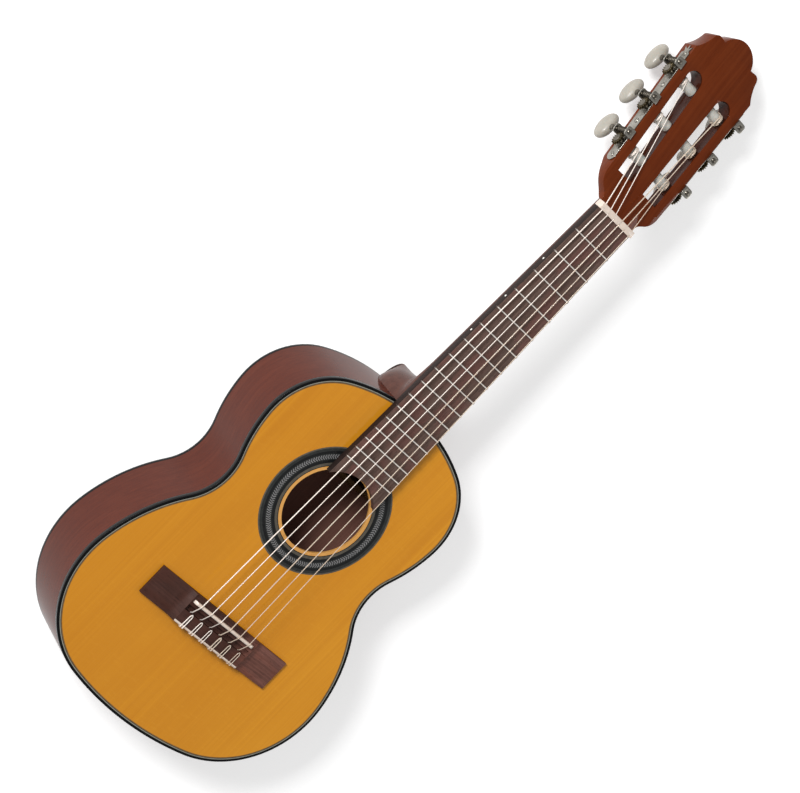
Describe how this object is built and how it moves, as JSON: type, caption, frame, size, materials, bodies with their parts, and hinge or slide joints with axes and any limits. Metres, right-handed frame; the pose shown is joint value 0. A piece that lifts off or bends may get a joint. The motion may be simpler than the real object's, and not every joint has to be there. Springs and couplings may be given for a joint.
{
  "type": "classical guitar",
  "caption": "Quarter-size nylon-string classical guitar with a slotted, lobed head, tie-block bridge, ringed rosette and turning worm-geared tuners.",
  "frame": {"origin": "middle of the bounding box, on the plane of the flat back", "axes": "+Z out of the soundboard, +Y from the tail to the head along the centre line, +X to the treble side"},
  "size_m": [0.2848, 0.7936, 0.0903],
  "materials": {
    "spruce_top": "clear gloss over amber-toned straight-grained spruce",
    "mahogany": "gloss red-brown stain",
    "head_wood": "gloss warm red-brown stain",
    "rosewood": "satin dark rosewood",
    "inner_wood": "raw pale wood",
    "black_trim": "gloss",
    "line_inlay": "dyed wood lines under gloss",
    "bone": "satin cream",
    "nickel": "worn nickel plate",
    "fret_metal": "polished",
    "brass": "tarnished",
    "roller": "translucent white",
    "pearl": "pearlescent",
    "nylon": "clear nylon",
    "wound": "silver-plated winding"
  },
  "bodies": {
    "guitar": {"soundboard": "spruce_top", "back": "mahogany", "side_bass": "mahogany", "side_treble": "mahogany", "binding_top": "black_trim", "binding_back": "black_trim", "purfling": "line_inlay", "rosette": "line_inlay", "neck_block": "inner_wood", "tail_block": "inner_wood", "linings": "inner_wood", "top_braces": "inner_wood", "back_braces": "inner_wood", "bridge": "rosewood", "saddle": "bone", "tie_strip": "bone", "neck": "mahogany", "headstock": "head_wood", "heel_cap": "rosewood", "fingerboard": "rosewood", "frets": "fret_metal", "nut": "bone", "tuner_plates": "nickel", "tuner_screws": "nickel", "string_1": "nylon", "string_2": "nylon", "string_3": "nylon", "string_4": "wound", "string_5": "wound", "string_6": "wound"},
    "tuner_1": {"worm_1": "nickel", "button_1": "pearl"},
    "post_1": {"roller_1": "roller", "gear_1": "brass", "winding_1": "nylon"},
    "tuner_2": {"worm_2": "nickel", "button_2": "pearl"},
    "post_2": {"roller_2": "roller", "gear_2": "brass", "winding_2": "nylon"},
    "tuner_3": {"worm_3": "nickel", "button_3": "pearl"},
    "post_3": {"roller_3": "roller", "gear_3": "brass", "winding_3": "nylon"},
    "tuner_4": {"worm_4": "nickel", "button_4": "pearl"},
    "post_4": {"roller_4": "roller", "gear_4": "brass", "winding_4": "wound"},
    "tuner_5": {"worm_5": "nickel", "button_5": "pearl"},
    "post_5": {"roller_5": "roller", "gear_5": "brass", "winding_5": "wound"},
    "tuner_6": {"worm_6": "nickel", "button_6": "pearl"},
    "post_6": {"roller_6": "roller", "gear_6": "brass", "winding_6": "wound"}
  },
  "joints": [
    {"name": "tuner_1_turn", "type": "hinge", "parent": "guitar", "child": "tuner_1", "pos_m": [0.04238, 0.26709, 0.06006], "axis": [0, 0.2164, 0.9763], "continuous": true},
    {"name": "post_1_turn", "type": "hinge", "parent": "guitar", "child": "post_1", "pos_m": [0.04209, 0.25889, 0.06188], "axis": [0.9994, -0.0341, 0.0076], "continuous": true},
    {"name": "tuner_2_turn", "type": "hinge", "parent": "guitar", "child": "tuner_2", "pos_m": [0.04369, 0.30367, 0.05195], "axis": [0, 0.2164, 0.9763], "continuous": true},
    {"name": "post_2_turn", "type": "hinge", "parent": "guitar", "child": "post_2", "pos_m": [0.0434, 0.29548, 0.05377], "axis": [0.9994, -0.0341, 0.0076], "continuous": true},
    {"name": "tuner_3_turn", "type": "hinge", "parent": "guitar", "child": "tuner_3", "pos_m": [0.045, 0.34026, 0.04384], "axis": [0, 0.2164, 0.9763], "continuous": true},
    {"name": "post_3_turn", "type": "hinge", "parent": "guitar", "child": "post_3", "pos_m": [0.04471, 0.33207, 0.04566], "axis": [0.9994, -0.0341, 0.0076], "continuous": true},
    {"name": "tuner_4_turn", "type": "hinge", "parent": "guitar", "child": "tuner_4", "pos_m": [-0.045, 0.34026, 0.04384], "axis": [0, 0.2164, 0.9763], "continuous": true},
    {"name": "post_4_turn", "type": "hinge", "parent": "guitar", "child": "post_4", "pos_m": [-0.04471, 0.33207, 0.04566], "axis": [-0.9994, -0.0341, 0.0076], "continuous": true},
    {"name": "tuner_5_turn", "type": "hinge", "parent": "guitar", "child": "tuner_5", "pos_m": [-0.04369, 0.30367, 0.05195], "axis": [0, 0.2164, 0.9763], "continuous": true},
    {"name": "post_5_turn", "type": "hinge", "parent": "guitar", "child": "post_5", "pos_m": [-0.0434, 0.29548, 0.05377], "axis": [-0.9994, -0.0341, 0.0076], "continuous": true},
    {"name": "tuner_6_turn", "type": "hinge", "parent": "guitar", "child": "tuner_6", "pos_m": [-0.04238, 0.26709, 0.06006], "axis": [0, 0.2164, 0.9763], "continuous": true},
    {"name": "post_6_turn", "type": "hinge", "parent": "guitar", "child": "post_6", "pos_m": [-0.04209, 0.25889, 0.06188], "axis": [-0.9994, -0.0341, 0.0076], "continuous": true}
  ],
  "couplings": [
    {"joint": "post_1_turn", "follows": "tuner_1_turn", "ratio": -0.066667},
    {"joint": "post_2_turn", "follows": "tuner_2_turn", "ratio": -0.066667},
    {"joint": "post_3_turn", "follows": "tuner_3_turn", "ratio": -0.066667},
    {"joint": "post_4_turn", "follows": "tuner_4_turn", "ratio": -0.066667},
    {"joint": "post_5_turn", "follows": "tuner_5_turn", "ratio": -0.066667},
    {"joint": "post_6_turn", "follows": "tuner_6_turn", "ratio": -0.066667}
  ]
}
